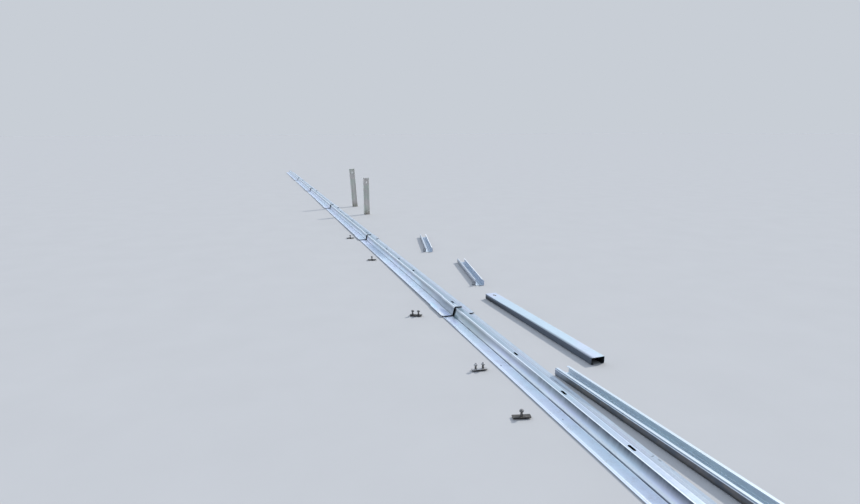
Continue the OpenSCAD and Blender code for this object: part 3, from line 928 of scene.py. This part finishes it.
def thread(low, high):
    """A closed threaded rod: a zigzag swept once round while it climbs by one pitch, cut flat at both ends"""
    bm = bmesh.new()
    crest = BOLT_R - 0.0002
    profile = ((THREAD_ROOT, 0.0), (THREAD_ROOT, 0.12), (crest, 0.5), (crest, 0.62))
    turns = int((high - low) / THREAD_PITCH) + 3
    line = [(r, low + (turn + part - 1.5) * THREAD_PITCH) for turn in range(turns) for r, part in profile]
    bmesh.ops.spin(bm, geom=outline(bm, line), cent=(0, 0, 0), axis=(0, 0, 1), angle=math.tau,
                   steps=THREAD_STEPS, dvec=(0, 0, THREAD_PITCH / THREAD_STEPS))
    bmesh.ops.remove_doubles(bm, verts=bm.verts, dist=SAME_IN_THREAD)
    cut_flat(bm, (0, 0, low), (0, 0, -1.0))
    cut_flat(bm, (0, 0, high), (0, 0, 1.0))
    bmesh.ops.recalc_face_normals(bm, faces=bm.faces)
    return bm


def bolt_mesh():
    """A bolt on its domed head: a plain shank, a chamfered tip, and a thread whose ends lie inside them"""
    bm = bmesh.new()
    crown = BOLT_HEAD_R / 2
    neck = 0.0006
    angles = [math.radians(a) for a in DOME_ANGLES]
    dome = [(crown + (BOLT_HEAD_R - crown) * math.sin(a), BOLT_HEAD * (1 - math.cos(a))) for a in angles]
    plain = BOLT_END - THREAD_LEN
    spun(bm, outline(bm, [(0, 0)] + dome + [
        (BOLT_HEAD_R, BOLT_HEAD - 0.0008), (BOLT_HEAD_R - 0.0004, BOLT_HEAD),
        (BOLT_R + neck, BOLT_HEAD), (BOLT_R, BOLT_HEAD + neck),
        (BOLT_R, plain - 0.001), (THREAD_ROOT, plain), (0, plain)]), BOLT_STEPS)
    tip = BOLT_END - 0.002
    spun(bm, outline(bm, [(0, tip), (THREAD_ROOT + 0.0003, tip), (THREAD_ROOT + 0.0001, BOLT_END - 0.0011),
                          (THREAD_ROOT - 0.0010, BOLT_END), (0, BOLT_END)]), BOLT_STEPS)
    return joined(bm, thread(plain - 0.0005, BOLT_END - 0.0012))


def nut_mesh():
    """A ring with chamfers at its bore and corners, cut to six flats"""
    bm = bmesh.new()
    corner = NUT_FLAT / math.cos(math.radians(30))
    rim = NUT_FLAT * 0.96
    slope = (corner - rim) * math.tan(math.radians(30))
    low, high = NUT_TOP - NUT_HEIGHT, NUT_TOP
    bore = BOLT_R + 0.0001
    edge = 0.0008
    ring = [(bore + edge, low), (rim, low), (corner, low + slope), (corner, high - slope),
            (rim, high), (bore + edge, high), (bore, high - edge), (bore, low + edge)]
    spun(bm, outline(bm, ring, closed=True), NUT_STEPS)
    for k in range(6):
        a = math.radians(60 * k + 30)
        out = Vector((math.cos(a), math.sin(a), 0.0))
        cut_flat(bm, out * NUT_FLAT, out)
    bmesh.ops.recalc_face_normals(bm, faces=bm.faces)
    return bm


def in_order(parts, key):
    """Vertices, edges or faces put in one order, because the operators leave another in each run"""
    for rank, part in enumerate(sorted(parts, key=key)):
        part.index = rank
    parts.sort()


def set_piece(name, make, places, node_name, material):
    """One piece with a copy of a mesh at each place, which stands for a node"""
    bm = bmesh.new()
    for place in places:
        one = make()
        bmesh.ops.transform(one, matrix=place, verts=one.verts)
        joined(bm, one)
    in_order(bm.verts, lambda vert: vert.co[:])
    for parts in (bm.edges, bm.faces):
        in_order(parts, lambda part: sorted(vert.index for vert in part.verts))
    mesh = bpy.data.meshes.new(name)
    bm.to_mesh(mesh)
    bm.free()
    for face in mesh.polygons:
        face.use_smooth = True
    mesh.set_sharp_from_angle(angle=math.radians(SHARP_FROM))
    mesh.materials.append(material)
    made = bpy.data.objects.new(name, mesh)
    bpy.context.collection.objects.link(made)
    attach(made, "root")
    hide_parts(node_name)


for k, (along, shift, turn, bolts_at) in enumerate(KITS_AT, 1):
    lie = Matrix.Translation((KIT_X + shift, along, 0.0)) @ Matrix.Rotation(math.radians(turn), 4, "Z")
    places = [lie @ Matrix.Translation((x, 0.0, 0.0)) for x in bolts_at]
    give("cover_plate_%d" % k, PLATE_ZINC)
    give("bolts_%d" % k, BOLT_ZINC)
    give("nuts_%d" % k, NUT_ZINC)
    set_piece("threaded_bolts_%d" % k, bolt_mesh, places, "bolts_%d" % k, BOLT_ZINC)
    set_piece("chamfered_nuts_%d" % k, nut_mesh, places, "nuts_%d" % k, NUT_ZINC)


# Floor, light and camera

def floor():
    bm = bmesh.new()
    bmesh.ops.create_grid(bm, x_segments=1, y_segments=1, size=FLOOR_HALF)
    bmesh.ops.translate(bm, verts=bm.verts, vec=FLOOR_AT)
    mesh = bpy.data.meshes.new("floor")
    bm.to_mesh(mesh)
    bm.free()
    made = bpy.data.objects.new("floor", mesh)
    bpy.context.collection.objects.link(made)
    material, tree, shader, place = new_material("pale floor")
    link(tree, mix(tree, noise(tree, place, 2.0, 4.0), *FLOOR_TONES), shader.inputs["Base Color"])
    shader.inputs["Roughness"].default_value = 0.9
    shader.inputs["Specular IOR Level"].default_value = 0.0
    mesh.materials.append(material)


def world():
    """A soft sky, bluer above and brighter along the run; the camera sees a plain backdrop"""
    made = bpy.data.worlds.new("studio")
    made.use_nodes = True
    tree = made.node_tree
    towards = node(tree, "ShaderNodeTexCoord").outputs["Generated"]
    up = ramp(tree, axes_of(tree, towards)[2], 0.0, SKY_HIGH_FROM)
    colour = mix(tree, up, SKY_LOW, SKY_HIGH)
    a = math.radians(SKY_TOWARDS)
    ahead = node(tree, "ShaderNodeVectorMath", {0: towards, 1: (math.cos(a), math.sin(a), 0.0)},
                 operation="DOT_PRODUCT").outputs[1]
    side = calc(tree, "MULTIPLY_ADD", ahead, SKY_LEAN, 1.0)
    grey = node(tree, "ShaderNodeCombineColor", {0: side, 1: side, 2: side}).outputs[0]
    light = mix(tree, 1.0, colour, grey, "MULTIPLY")
    seen = node(tree, "ShaderNodeLightPath").outputs["Is Camera Ray"]
    link(tree, mix(tree, seen, light, BACKDROP), tree.nodes["Background"].inputs["Color"])
    bpy.context.scene.world = made


def sun():
    lamp = bpy.data.lights.new("sun", "SUN")
    lamp.energy = SUN_STRENGTH
    lamp.angle = math.radians(SUN_SPREAD)
    lamp.color = SUN_COLOUR
    made = bpy.data.objects.new("sun", lamp)
    a, b = math.radians(SUN_TOWARDS), math.radians(SUN_HEIGHT)
    back = Vector((math.cos(b) * math.cos(a), math.cos(b) * math.sin(a), math.sin(b)))
    made.rotation_euler = back.to_track_quat("Z", "Y").to_euler()
    bpy.context.collection.objects.link(made)


def camera():
    lens = bpy.data.cameras.new("camera")
    lens.sensor_width = SENSOR
    lens.sensor_fit = "HORIZONTAL"
    lens.lens = FOCAL_PIXELS * SENSOR / PICTURE_WIDTH
    lens.clip_end = CLIP_END
    made = bpy.data.objects.new("camera", lens)
    bpy.context.collection.objects.link(made)
    level = Matrix.Rotation(-CAMERA_YAW, 3, "Z")
    tilt = Matrix.Rotation(math.pi / 2 - CAMERA_PITCH, 3, "X")
    roll = Matrix.Rotation(CAMERA_ROLL, 3, "Z")
    made.matrix_world = Matrix.Translation(CAMERA_AT) @ (level @ tilt @ roll).to_4x4()
    bpy.context.scene.camera = made


floor()
world()
sun()
camera()
bpy.context.scene.view_settings.view_transform = "Standard"
